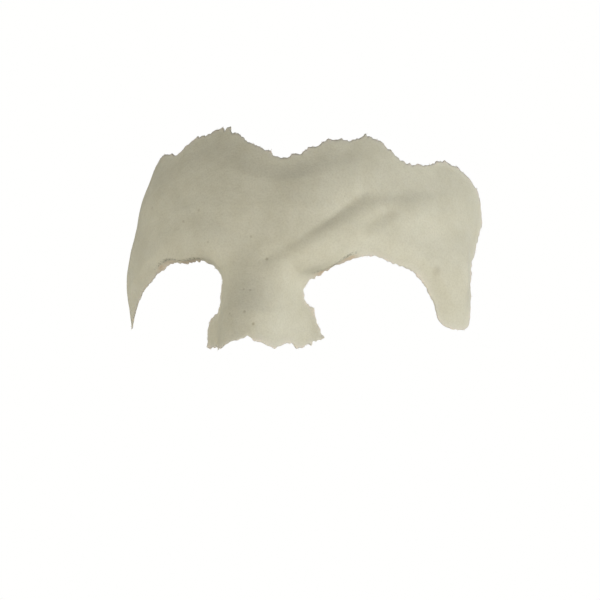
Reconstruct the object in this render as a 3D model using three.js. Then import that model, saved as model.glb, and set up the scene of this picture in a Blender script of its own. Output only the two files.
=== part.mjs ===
// Forehead prosthetic: one thin moulding of foam latex, worn over the forehead, the brows and
// the bridge of the nose. It has a heavy brow ridge over each eye opening, a deep frown crease
// above each ridge, padded folds on the forehead, a short tail beside each eye and a thin torn
// edge all round.
//
// Millimetres, +Z up. The wearer looks along -Y and +X is the wearer's left. The origin is on the
// skin side, on the midline between the brows, where the moulding is glued on first.
//
// A place on the moulding is given as (side, level): side is the distance round the head from the
// midline, positive towards +X, and level is the height. Rows of a table give the right half of
// the view (+X); a fold is repeated on the other half with its side turned about.

import * as THREE from "three";

// Driving dimensions

const GIRTH_RADIUS = 80;       // side distance for each radian of turn round the head
const LIP = 0.7;               // thickness of the torn edge
const THINNEST = 1.1;          // least thickness in the deepest crease
const SOFTENING = 0.8;         // how gently the foam levels out towards that least thickness
const CELL = 2.3;              // size of one mesh cell
const BORDER_CELLS = 1.5;      // cells left free round the outline
const CROSSING_MARGIN = 0.08;  // least share of a cell between the outline and a corner
const EDGE_STEPS = 5;          // straight steps between two places of the outline
const FOLD_STEPS = 30;         // straight steps along a fold line
const FOAM_COLOUR = 0xd2cdb6;  // ivory foam

// The skin side: level cuts of the head that the moulding lies on.
// halfWidth and halfDepth are the cut's ellipse, front is how far its front lies behind the
// origin, nose is the rise of the bridge with noseHalf its half width, and socket is how deep
// the cut dips beside the bridge.
const HEAD_CUTS = [
  { level: -42, halfWidth: 69.6, halfDepth: 92, front: 5.2, nose: 15.8, noseHalf: 15.0, socket: 7.0 },
  { level: -32, halfWidth: 69.8, halfDepth: 92, front: 4.6, nose: 14.8, noseHalf: 13.9, socket: 7.0 },
  { level: -24, halfWidth: 69.8, halfDepth: 92, front: 4.1, nose: 11.4, noseHalf: 12.7, socket: 7.0 },
  { level: -16, halfWidth: 69.5, halfDepth: 92, front: 3.2, nose: 7.3, noseHalf: 11.2, socket: 6.2 },
  { level: -8, halfWidth: 69.1, halfDepth: 92, front: 1.4, nose: 2.7, noseHalf: 10.3, socket: 5.0 },
  { level: 0, halfWidth: 68.6, halfDepth: 92, front: 0.0, nose: 0.0, noseHalf: 10.0, socket: 0.6 },
  { level: 12, halfWidth: 67.5, halfDepth: 91.5, front: 0.2, nose: 0.0, noseHalf: 10.0, socket: 0.0 },
  { level: 25, halfWidth: 66.7, halfDepth: 87, front: 1.6, nose: 0.0, noseHalf: 10.0, socket: 0.0 },
  { level: 38, halfWidth: 65.5, halfDepth: 86, front: 4.6, nose: 0.0, noseHalf: 10.0, socket: 0.0 },
  { level: 52, halfWidth: 61.7, halfDepth: 85, front: 9.8, nose: 0.0, noseHalf: 10.0, socket: 0.0 },
];
const SOCKET_SIDE = 27;        // side distance of the middle of the dip beside the bridge
const SOCKET_HALF = 16;        // its half width

// The torn outline, as the same places on both halves, from the top middle down to the nose.
const OUTLINE = [
  { place: "dip above the nose", right: [5.5, 32.3], left: [-2.0, 34.7] },
  { place: "inner rise", right: [13.4, 34.3], left: [-9.0, 37.9] },
  { place: "inner shoulder", right: [23.1, 39.1], left: [-16.0, 41.0] },
  { place: "forehead lobe", right: [34.1, 41.1], left: [-22.2, 44.1] },
  { place: "lobe tip", right: [38.0, 43.6], left: [-30.0, 43.0] },
  { place: "outer shoulder", right: [43.2, 42.0], left: [-37.4, 42.3] },
  { place: "outer fall", right: [50.4, 38.2], left: [-44.0, 39.9] },
  { place: "outer dip", right: [56.6, 35.6], left: [-49.9, 37.3] },
  { place: "temple rise", right: [62.5, 36.3], left: [-56.5, 38.6] },
  { place: "temple top", right: [73.7, 39.9], left: [-67.5, 40.4] },
  { place: "temple shoulder", right: [83.4, 38.3], left: [-78.5, 38.4] },
  { place: "rear corner", right: [92.0, 33.2], left: [-89.0, 32.6] },
  { place: "rear bulge", right: [95.3, 23.4], left: [-93.5, 21.6] },
  { place: "rear waist", right: [90.7, 11.2], left: [-89.6, 10.2] },
  { place: "tail root", right: [88.3, 4.4], left: [-87.6, 3.6] },
  { place: "tail rear", right: [87.5, -8.9], left: [-90.0, -8.0] },
  { place: "tail heel", right: [85.3, -15.6], left: [-90.0, -16.0] },
  { place: "tail toe", right: [76.1, -17.5], left: [-85.0, -18.6] },
  { place: "tail front", right: [71.9, -16.2], left: [-79.0, -15.4] },
  { place: "opening rear", right: [68.5, -9.9], left: [-69.8, -11.5] },
  { place: "opening upper rear", right: [63.7, -3.2], left: [-61.3, -8.3] },
  { place: "arch rear", right: [54.7, -0.9], left: [-52.3, -5.7] },
  { place: "arch top", right: [44.0, 0.9], left: [-43.7, -3.1] },
  { place: "arch front", right: [36.0, -1.3], left: [-35.5, -3.7] },
  { place: "arch fall", right: [28.2, -5.8], left: [-27.4, -3.7] },
  { place: "inner eye corner", right: [20.8, -9.3], left: [-22.3, -5.1] },
  { place: "bridge side", right: [18.2, -12.2], left: [-18.7, -9.6] },
  { place: "bridge narrowest", right: [18.3, -16.0], left: [-19.2, -14.1] },
  { place: "bridge flare", right: [21.7, -19.0], left: [-20.6, -18.8] },
  { place: "nose wing", right: [25.5, -24.6], left: [-26.2, -23.7] },
  { place: "nose corner", right: [27.2, -27.3], left: [-27.2, -28.4] },
  { place: "corner underside", right: [22.7, -29.4], left: [-24.9, -31.4] },
  { place: "outer tooth", right: [17.0, -31.6], left: [-18.0, -32.5] },
  { place: "notch", right: [13.1, -30.9], left: [-11.5, -33.6] },
  { place: "inner tooth", right: [9.2, -33.6], left: [-6.6, -34.3] },
  { place: "nose middle", right: [4.6, -32.0], left: [-1.5, -32.7] },
];

// Folds of the outer side. path is the line of the fold through its places, height its rise
// (negative for a crease), half its half width, power the roundness of its section (2 is round,
// 1 is sharp), and startFade and endFade are the shares of its length that it fades over. Each
// is repeated on the other half, where left is how strong it is against the right.
const FOLDS = [
  { name: "brow ridge",
    path: [[8.5, -33], [8.4, -16], [10.5, -6.4], [16.5, -0.9], [24, 3.6], [38, 11.8], [64, 19.2]],
    height: 4.2, half: 6, power: 2, startFade: 0.8, endFade: 0.6, left: 0.5 },
  { name: "bridge crest", path: [[4.4, -34], [3.2, -27], [1.4, -22], [1.4, -15]],
    height: 0.8, half: 6, power: 1, startFade: 0.05, endFade: 0.7, left: 0.1 },
  { name: "frown crease", path: [[1, -6], [7, -2], [13.5, 1.3], [21.5, 6.6], [35, 17.9], [49.5, 28.2]],
    height: -1.1, half: 2.9, power: 1.6, startFade: 0.2, endFade: 0.15, left: 0.15 },
  { name: "upper fold", path: [[5, 2], [11.5, 8], [18.5, 15], [26, 24], [34, 33]],
    height: 2.9, half: 11, power: 2, startFade: 0.55, endFade: 1, left: 0.4 },
  { name: "midline valley", path: [[-1, 2], [-1, 12], [1, 22], [6, 31]],
    height: -0.7, half: 6, power: 2, startFade: 0.5, endFade: 0.8, left: 0.6 },
  { name: "second crease", path: [[38, 8.5], [44, 13.2], [50, 16.6], [58, 20.5]],
    height: -1, half: 2.8, power: 1.8, startFade: 0.4, endFade: 0.5, left: 0.3 },
  { name: "temple hollow", path: [[36, 24], [46, 28], [58, 29], [78, 27]],
    height: -2.5, half: 7.5, power: 2, startFade: 0.3, endFade: 0.4, left: 0.15 },
  { name: "brow tail", path: [[46, 12], [56, 18], [66, 21], [80, 20]],
    height: 1.3, half: 7, power: 2, startFade: 0.4, endFade: 0.4, left: 0.6 },
  { name: "temple pad", path: [[78, 16], [80, 8], [80, 0], [78, -12]],
    height: 1.2, half: 9, power: 2, startFade: 0.4, endFade: 0.3, left: 0.6 },
];
const MIDLINE_BLEND = 4;       // side distance each way over which the two halves blend

// The foam at some levels: pad is its thickness away from the folds, and feather the distance
// from the edge over which it reaches that.
const FOAM = [
  { level: -34, pad: 1.3, feather: 12 },
  { level: -14, pad: 2.2, feather: 8 },
  { level: 0, pad: 2.7, feather: 6 },
  { level: 14, pad: 2.6, feather: 9 },
  { level: 28, pad: 1.7, feather: 13 },
  { level: 42, pad: 1.1, feather: 16 },
];

// The rolled rim under each brow: where its middle lies and how far it reaches along the edge.
const ROLLS = [
  { brow: "right", side: 30, level: -2.6, reach: 9 },
  { brow: "left", side: -38, level: -2.8, reach: 14 },
];
const ROLL_STEP = { height: 1.2, width: 0.9 };   // the step that it makes above the edge

// Wander of the torn edge: size of each wave and how far it moves the edge.
const EDGE_WAVES = [
  { wave: 13, move: 0.45 },
  { wave: 6.1, move: 0.4 },
];
const WAVE_SLANT = { side: 0.4, level: 0.3 };   // how far the waves lean off the grid

// Small helpers

const smooth = (value) => {
  const t = Math.min(1, Math.max(0, value));
  return t * t * (3 - 2 * t);
};

// A column of the head table at a level, on a curve through the rows.
function headValue(column, level) {
  const last = HEAD_CUTS.length - 2;
  let row = 0;
  while (row < last && level > HEAD_CUTS[row + 1].level) row += 1;
  const slope = (index) => {
    const below = HEAD_CUTS[Math.max(0, index - 1)];
    const above = HEAD_CUTS[Math.min(HEAD_CUTS.length - 1, index + 1)];
    return (above[column] - below[column]) / (above.level - below.level);
  };
  const from = HEAD_CUTS[row];
  const to = HEAD_CUTS[row + 1];
  const step = to.level - from.level;
  const t = Math.min(1, Math.max(0, (level - from.level) / step));
  return (
    from[column] * (1 + 2 * t) * (1 - t) ** 2 +
    slope(row) * step * t * (1 - t) ** 2 +
    to[column] * t * t * (3 - 2 * t) +
    slope(row + 1) * step * t * t * (t - 1)
  );
}

// The head's ellipse at a level, before the nose and the eye sockets.
function headPoint(side, level) {
  const turn = side / GIRTH_RADIUS;
  return new THREE.Vector3(
    headValue("halfWidth", level) * Math.sin(turn),
    headValue("front", level) + headValue("halfDepth", level) * (1 - Math.cos(turn)),
    level,
  );
}

// Outward direction of a surface given as a function of side and level.
function outward(surface, side, level) {
  const probe = 0.5;
  const across = surface(side + probe, level).sub(surface(side - probe, level));
  const up = surface(side, level + probe).sub(surface(side, level - probe));
  return across.cross(up).normalize();
}

// The skin side of the moulding.
function skinPoint(side, level) {
  const bridge = headValue("nose", level) * Math.exp(-((side / headValue("noseHalf", level)) ** 2));
  const offset = (Math.abs(side) - SOCKET_SIDE) / SOCKET_HALF;
  const dip = headValue("socket", level) * Math.exp(-(offset ** 4));
  return headPoint(side, level).addScaledVector(outward(headPoint, side, level), bridge - dip);
}

// Outline and distance to it

function edgeCurve() {
  const right = OUTLINE.map((row) => row.right);
  const left = OUTLINE.map((row) => row.left).reverse();
  const places = [...right, ...left].map(([side, level]) => new THREE.Vector3(side, level, 0));
  const curve = new THREE.CatmullRomCurve3(places, true, "centripetal");
  return curve.getPoints(places.length * EDGE_STEPS).slice(0, -1);
}

// Distance from a place to the outline, positive on the foam and negative off it.
function insetFrom(edge, side, level) {
  let nearest = Infinity;
  let inside = false;
  for (let index = 0; index < edge.length; index += 1) {
    const a = edge[index];
    const b = edge[(index + 1) % edge.length];
    const along = { x: b.x - a.x, y: b.y - a.y };
    const length2 = along.x ** 2 + along.y ** 2;
    const share = ((side - a.x) * along.x + (level - a.y) * along.y) / length2;
    const t = Math.min(1, Math.max(0, share));
    nearest = Math.min(nearest, Math.hypot(side - a.x - along.x * t, level - a.y - along.y * t));
    const crosses = a.y > level !== b.y > level;
    if (crosses && side < a.x + ((level - a.y) / along.y) * along.x) inside = !inside;
  }
  const wander = EDGE_WAVES.reduce((sum, { wave, move }) => {
    const turn = (2 * Math.PI) / wave;
    const across = Math.sin(turn * (side + WAVE_SLANT.side * level));
    const up = Math.cos(turn * (level - WAVE_SLANT.level * side));
    return sum + move * across * up;
  }, 0);
  return (inside ? nearest : -nearest) + wander;
}

// The same distance evened out, so that it has no ridge halfway between two edges: each step of
// the outline counts by the inverse fourth power of how far it is. Close to the edge the plain
// distance holds.
function depthFrom(edge, side, level, inset) {
  const nearby = 3;
  let sum = 0;
  for (let index = 0; index < edge.length; index += 1) {
    const a = edge[index];
    const b = edge[(index + 1) % edge.length];
    const away2 = (side - (a.x + b.x) / 2) ** 2 + (level - (a.y + b.y) / 2) ** 2;
    sum += Math.hypot(b.x - a.x, b.y - a.y) / away2 ** 2;
  }
  const even = Math.cbrt(Math.PI / 2 / sum);
  const share = smooth(inset / nearby);
  return inset * (1 - share) + even * share;
}

// Thickness of the foam

const foldLines = FOLDS.map(({ path, ...fold }) => {
  const places = path.map(([side, level]) => new THREE.Vector2(side, level));
  return { ...fold, points: new THREE.SplineCurve(places).getPoints(FOLD_STEPS) };
});

// Height of one fold at a place.
function foldHeight({ points, height, half, power, startFade, endFade }, side, level) {
  let nearest = Infinity;
  let along = 0;
  for (let index = 0; index < FOLD_STEPS; index += 1) {
    const a = points[index];
    const b = points[index + 1];
    const step = { x: b.x - a.x, y: b.y - a.y };
    const share = ((side - a.x) * step.x + (level - a.y) * step.y) / (step.x ** 2 + step.y ** 2);
    const t = Math.min(1, Math.max(0, share));
    const distance = Math.hypot(side - a.x - step.x * t, level - a.y - step.y * t);
    if (distance < nearest) {
      nearest = distance;
      along = (index + t) / FOLD_STEPS;
    }
  }
  const fade = smooth(along / startFade) * smooth((1 - along) / endFade);
  return height * fade * Math.exp(-((nearest / half) ** power));
}

const halfRelief = (side, level, onLeft) =>
  foldLines.reduce((sum, fold) => {
    const strength = onLeft ? fold.left : 1;
    return sum + strength * foldHeight(fold, side, level);
  }, 0);

// Rise of all folds at a place. The two halves blend over the midline.
function relief(side, level) {
  const right = smooth((side + MIDLINE_BLEND) / (2 * MIDLINE_BLEND));
  return (
    (right > 0 ? right * halfRelief(side, level, false) : 0) +
    (right < 1 ? (1 - right) * halfRelief(-side, level, true) : 0)
  );
}

// A column of the foam table at a level, on straight lines through the rows.
function foamValue(column, level) {
  const above = FOAM.findIndex((cut) => cut.level > level);
  if (above < 1) return FOAM.at(above)[column];
  const [from, to] = [FOAM[above - 1], FOAM[above]];
  return THREE.MathUtils.mapLinear(level, from.level, to.level, from[column], to[column]);
}

function thickness(side, level, inset, depth) {
  const rolls = ROLLS.map((roll) => {
    const away = Math.hypot(side - roll.side, level - roll.level);
    return Math.exp(-((away / roll.reach) ** 2));
  });
  const step = ROLL_STEP.height * Math.max(...rolls) * smooth(inset / ROLL_STEP.width);
  const above = foamValue("pad", level) + relief(side, level) - THINNEST;
  const full = THINNEST + (above + Math.hypot(above, SOFTENING)) / 2;
  const rise = smooth(depth / foamValue("feather", level));
  return (LIP + step) * (1 - rise) + full * rise;
}

// The moulding as one closed shell: a grid of cells cut off at the outline, once on the skin
// side and once on the outer side, joined by a wall along the edge.
function mouldingGeometry() {
  const edge = edgeCurve();
  const box = new THREE.Box2().setFromPoints(edge.map((point) => new THREE.Vector2(point.x, point.y)));
  const margin = CELL * BORDER_CELLS;
  const origin = { side: box.min.x - margin, level: box.min.y - margin };
  const columns = Math.ceil((box.max.x + margin - origin.side) / CELL);
  const rows = Math.ceil((box.max.y + margin - origin.level) / CELL);

  const places = [];
  const numbers = new Map();
  const insets = new Map();
  const sideOf = (column) => origin.side + column * CELL;
  const levelOf = (row) => origin.level + row * CELL;
  const insetAt = (column, row) => {
    const key = `${column},${row}`;
    if (!insets.has(key)) insets.set(key, insetFrom(edge, sideOf(column), levelOf(row)));
    return insets.get(key);
  };
  const place = (key, side, level, inset) => {
    if (!numbers.has(key)) {
      numbers.set(key, places.length);
      places.push({ side, level, inset });
    }
    return numbers.get(key);
  };
  const corner = (column, row) =>
    place(`${column},${row}`, sideOf(column), levelOf(row), insetAt(column, row));
  // Where the outline crosses the line between two corners, kept off the corners themselves.
  const crossing = ([c0, r0], [c1, r1]) => {
    const key = [`${c0},${r0}`, `${c1},${r1}`].sort().join("|");
    const share = insetAt(c0, r0) / (insetAt(c0, r0) - insetAt(c1, r1));
    const t = Math.min(1 - CROSSING_MARGIN, Math.max(CROSSING_MARGIN, share));
    return place(key, sideOf(c0 + (c1 - c0) * t), levelOf(r0 + (r1 - r0) * t), 0);
  };

  const faces = [];
  for (let row = 0; row < rows; row += 1) {
    for (let column = 0; column < columns; column += 1) {
      const corners = [[column, row], [column + 1, row], [column + 1, row + 1], [column, row + 1]];
      const outline = [];
      corners.forEach((here, index) => {
        const next = corners[(index + 1) % 4];
        const hereIn = insetAt(...here) > 0;
        if (hereIn) outline.push(corner(...here));
        if (hereIn !== insetAt(...next) > 0) outline.push(crossing(here, next));
      });
      for (let index = 2; index < outline.length; index += 1) {
        faces.push([outline[0], outline[index - 1], outline[index]]);
      }
    }
  }

  const skin = places.map(({ side, level }) => skinPoint(side, level));
  const outer = places.map(({ side, level, inset }, index) => {
    const foam = thickness(side, level, inset, depthFrom(edge, side, level, inset));
    return skin[index].clone().addScaledVector(outward(skinPoint, side, level), foam);
  });
  const count = places.length;

  const used = new Set(faces.flatMap(([a, b, c]) => [`${a},${b}`, `${b},${c}`, `${c},${a}`]));
  const indices = [];
  for (const [a, b, c] of faces) {
    indices.push(a + count, b + count, c + count);
    indices.push(a, c, b);
    for (const [from, to] of [[a, b], [b, c], [c, a]]) {
      if (!used.has(`${to},${from}`)) {
        indices.push(to + count, from + count, from);
        indices.push(to + count, from, to);
      }
    }
  }
  const geometry = new THREE.BufferGeometry();
  const positions = [...skin, ...outer].flatMap((point) => point.toArray());
  geometry.setAttribute("position", new THREE.Float32BufferAttribute(positions, 3));
  geometry.setIndex(indices);
  geometry.computeVertexNormals();
  return geometry;
}

// The part

const foam = new THREE.MeshStandardMaterial({ color: FOAM_COLOUR, roughness: 0.85, metalness: 0 });
const moulding = new THREE.Mesh(mouldingGeometry(), foam);
moulding.name = "forehead_prosthetic";

const part = new THREE.Group();
part.add(moulding);

export default part;
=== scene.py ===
"""A foam latex forehead prosthetic, dressed and lit for a soft studio picture.

The moulding is one soft piece worn over the forehead, the brows and the bridge of the nose. Its
form comes from short tables: level cuts of the head under it, the places of its torn outline, the
folds of its outer side, and the thickness of the foam at each level. A place on it is given as
(side, level): side is the distance round the head from the midline, positive towards +X, and
level is the height. Places are arrays with one (side, level) in each row. The names in the
tables only say what each row is. Sizes are in millimetres until a mesh is made, and in metres
from there on.
"""

from __future__ import annotations

import logging
import math
from collections.abc import Callable
from dataclasses import dataclass, field
from enum import Enum
from functools import partialmethod

import bpy
import numpy as np
from mathutils import Matrix, Vector, noise
from mathutils.geometry import delaunay_2d_cdt


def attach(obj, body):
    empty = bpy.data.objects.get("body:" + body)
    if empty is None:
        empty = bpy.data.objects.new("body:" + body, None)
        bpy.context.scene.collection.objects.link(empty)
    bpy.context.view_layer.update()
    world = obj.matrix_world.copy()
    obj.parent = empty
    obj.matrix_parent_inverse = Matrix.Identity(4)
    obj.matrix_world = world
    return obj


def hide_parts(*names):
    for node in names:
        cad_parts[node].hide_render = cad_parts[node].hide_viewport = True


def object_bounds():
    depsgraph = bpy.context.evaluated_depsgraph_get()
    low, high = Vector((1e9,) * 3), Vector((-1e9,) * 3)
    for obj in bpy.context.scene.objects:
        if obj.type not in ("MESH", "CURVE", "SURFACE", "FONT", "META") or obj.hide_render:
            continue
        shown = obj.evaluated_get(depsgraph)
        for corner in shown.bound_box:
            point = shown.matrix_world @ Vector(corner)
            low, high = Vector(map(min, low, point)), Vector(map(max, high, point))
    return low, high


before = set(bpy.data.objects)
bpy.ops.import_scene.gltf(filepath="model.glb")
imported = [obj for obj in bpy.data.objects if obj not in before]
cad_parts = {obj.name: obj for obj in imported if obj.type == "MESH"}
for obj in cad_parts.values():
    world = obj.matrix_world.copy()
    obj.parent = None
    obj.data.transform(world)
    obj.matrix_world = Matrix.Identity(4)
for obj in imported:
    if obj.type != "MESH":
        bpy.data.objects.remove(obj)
cad_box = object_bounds()

LOG = logging.getLogger("forehead_prosthetic")
MM = 0.001
NODE = "forehead_prosthetic"
BODY = "root"
INSIDE_FACES = 1
MERGE_DISTANCE = 1e-6

Array = np.ndarray
Surface = Callable[[Array, Array], Array]
Colour = tuple[float, float, float]


def smooth(value: Array) -> Array:
    """Returns the soft step from 0 to 1 of a value, flat outside that range."""
    t = np.clip(value, 0.0, 1.0)
    return t * t * (3.0 - 2.0 * t)


def srgb(red: int, green: int, blue: int) -> Colour:
    """Works out the linear colour of three display values.

    Args:
        red: The red value, from 0 to 255.
        green: The green value.
        blue: The blue value.

    Returns:
        The linear colour.
    """
    shares = (red / 255.0, green / 255.0, blue / 255.0)
    linear = [s / 12.92 if s <= 0.04045 else ((s + 0.055) / 1.055) ** 2.4 for s in shares]
    return (linear[0], linear[1], linear[2])


def hermite(start: Array, leave: Array, end: Array, arrive: Array, t: Array) -> Array:
    """Draws a smooth curve between two values.

    Args:
        start: The value at 0.
        leave: The slope at 0.
        end: The value at 1.
        arrive: The slope at 1.
        t: How far along to read the curve, from 0 to 1.

    Returns:
        The curve's values.
    """
    return (
        start * (1 + 2 * t) * (1 - t) ** 2
        + leave * t * (1 - t) ** 2
        + end * t * t * (3 - 2 * t)
        + arrive * t * t * (t - 1)
    )


def facing_from(azimuth: float, elevation: float) -> Vector:
    """Works out the direction from the piece towards a lamp or the camera.

    Args:
        azimuth: The turn from the front towards +X, in degrees.
        elevation: The rise from level, in degrees.

    Returns:
        The direction, one unit long.
    """
    turn, rise = math.radians(azimuth), math.radians(elevation)
    level = math.cos(rise)
    return Vector((math.sin(turn) * level, -math.cos(turn) * level, math.sin(rise)))


def add_object(name: str, data: bpy.types.ID) -> bpy.types.Object:
    """Adds an object to the scene.

    Args:
        name: The object's name.
        data: Its mesh, lamp or camera.

    Returns:
        The new object.
    """
    added = bpy.data.objects.new(name, data)
    bpy.context.scene.collection.objects.link(added)
    return added


def nearest_on_line(places: Array, line: Array, closed: bool) -> tuple[Array, Array]:
    """Finds the nearest point of a line for each place.

    Args:
        places: The places to look at.
        line: The line's corners in order.
        closed: Whether the last corner joins the first.

    Returns:
        The distance of each place, and the share of the line's steps at its nearest point.
    """
    ends = np.roll(line, -1, axis=0) if closed else line[1:]
    starts = line if closed else line[:-1]
    nearest = np.full(len(places), np.inf)
    along = np.zeros(len(places))
    for index, (start, end) in enumerate(zip(starts, ends)):
        step = end - start
        share = np.clip((places - start) @ step / (step @ step), 0.0, 1.0)
        offset = places - start - share[:, None] * step
        distance = np.hypot(offset[:, 0], offset[:, 1])
        closer = distance < nearest
        nearest[closer] = distance[closer]
        along[closer] = (index + share[closer]) / len(starts)
    return nearest, along


def even_depth(places: Array, line: Array, inset: Array, rim: float) -> Array:
    """Evens out the distance to a closed line, so that it has no ridge between two edges.

    Each step of the line counts by the inverse fourth power of how far it is.

    Args:
        places: The places to look at.
        line: The closed line's corners in order.
        inset: The plain distance of each place from the line.
        rim: How far from the line the plain distance still counts in part.

    Returns:
        The evened distance of each place.
    """
    nearest = 1e-4
    total = np.zeros(len(places))
    for start, end in zip(line, np.roll(line, -1, axis=0)):
        away = places - (start + end) / 2
        total += math.dist(start, end) / np.maximum((away**2).sum(axis=1), nearest) ** 2
    share = smooth(inset / rim)
    return inset * (1 - share) + np.cbrt(math.pi / 2 / total) * share


def is_inside(places: Array, line: Array) -> Array:
    """Tells for each place whether it lies inside a closed line.

    Args:
        places: The places to look at.
        line: The closed line's corners in order.

    Returns:
        True for each place inside.
    """
    inside = np.zeros(len(places), dtype=bool)
    for start, end in zip(line, np.roll(line, -1, axis=0)):
        if start[1] == end[1]:
            continue
        crosses = (start[1] > places[:, 1]) != (end[1] > places[:, 1])
        reach = start[0] + (places[:, 1] - start[1]) / (end[1] - start[1]) * (end[0] - start[0])
        inside ^= crosses & (places[:, 0] < reach)
    return inside


@dataclass(frozen=True)
class HeadCut:
    """One level cut of the head under the moulding.

    half_width and half_depth are the cut's ellipse, front is how far its front lies behind the
    origin, nose is the rise of the bridge and nose_half its half width, and socket is how deep
    the cut dips beside the bridge.
    """

    level: float
    half_width: float
    half_depth: float
    front: float
    nose: float
    nose_half: float
    socket: float


@dataclass(frozen=True)
class HeadForm:
    """The skin side of the moulding: the head that it was cast to lie on."""

    cuts: tuple[HeadCut, ...] = (
        HeadCut(-42, 69.6, 92, 5.2, 15.8, 15.0, 7.0),
        HeadCut(-32, 69.8, 92, 4.6, 14.8, 13.9, 7.0),
        HeadCut(-24, 69.8, 92, 4.1, 11.4, 12.7, 7.0),
        HeadCut(-16, 69.5, 92, 3.2, 7.3, 11.2, 6.2),
        HeadCut(-8, 69.1, 92, 1.4, 2.7, 10.3, 5.0),
        HeadCut(0, 68.6, 92, 0.0, 0.0, 10.0, 0.6),
        HeadCut(12, 67.5, 91.5, 0.2, 0.0, 10.0, 0.0),
        HeadCut(25, 66.7, 87, 1.6, 0.0, 10.0, 0.0),
        HeadCut(38, 65.5, 86, 4.6, 0.0, 10.0, 0.0),
        HeadCut(52, 61.7, 85, 9.8, 0.0, 10.0, 0.0),
    )
    girth_radius: float = 80.0
    socket_side: float = 27.0
    socket_half: float = 16.0
    probe: float = 0.5

    def value(self, column: str, level: Array) -> Array:
        """Reads a column of the table at some levels, on a curve through the rows.

        Args:
            column: The name of a HeadCut field.
            level: The levels to read at.

        Returns:
            The column's value at each level.
        """
        levels = np.array([cut.level for cut in self.cuts])
        values = np.array([getattr(cut, column) for cut in self.cuts])
        below = np.maximum(np.arange(len(levels)) - 1, 0)
        above = np.minimum(np.arange(len(levels)) + 1, len(levels) - 1)
        slopes = (values[above] - values[below]) / (levels[above] - levels[below])
        row = np.clip(np.searchsorted(levels, level) - 1, 0, len(levels) - 2)
        step = levels[row + 1] - levels[row]
        t = np.clip((level - levels[row]) / step, 0.0, 1.0)
        leave, arrive = slopes[row] * step, slopes[row + 1] * step
        return hermite(values[row], leave, values[row + 1], arrive, t)

    def ellipse(self, side: Array, level: Array) -> Array:
        """Works out the head's form before the nose and the eye sockets.

        Args:
            side: The sides of the places.
            level: The levels of the places.

        Returns:
            The point at each place.
        """
        turn = side / self.girth_radius
        across = self.value("half_width", level) * np.sin(turn)
        behind = self.value("front", level) + self.value("half_depth", level) * (1 - np.cos(turn))
        return np.stack([across, behind, level + 0.0 * side], axis=-1)

    def skin(self, side: Array, level: Array) -> Array:
        """Works out the skin side.

        Args:
            side: The sides of the places.
            level: The levels of the places.

        Returns:
            The point at each place.
        """
        bridge = self.value("nose", level) * np.exp(-((side / self.value("nose_half", level)) ** 2))
        offset = (np.abs(side) - self.socket_side) / self.socket_half
        dip = self.value("socket", level) * np.exp(-(offset**4))
        rise = (bridge - dip)[:, None]
        return self.ellipse(side, level) + rise * self.outward(self.ellipse, side, level)

    def outward(self, surface: Surface, side: Array, level: Array) -> Array:
        """Works out which way a surface faces.

        Args:
            surface: The surface as a function of side and level.
            side: The sides to look at.
            level: The levels to look at.

        Returns:
            The outward unit direction at each place.
        """
        across = surface(side + self.probe, level) - surface(side - self.probe, level)
        upward = surface(side, level + self.probe) - surface(side, level - self.probe)
        facing = np.cross(across, upward)
        return facing / np.linalg.norm(facing, axis=1, keepdims=True)


@dataclass(frozen=True)
class EdgePlace:
    """One place of the outline on both halves, with how raggedly the edge is torn there."""

    name: str
    right: tuple[float, float]
    left: tuple[float, float]
    torn: float


@dataclass(frozen=True)
class Tear:
    """One shred or nick of the edge: push is how far the edge moves there, negative for a nick."""

    name: str
    side: float
    level: float
    push: float
    reach: float


@dataclass(frozen=True)
class EdgeWave:
    """A random wander of the edge: its mean wave, its size, and how abruptly it steps."""

    wave: float
    size: float
    snap: float


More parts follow.
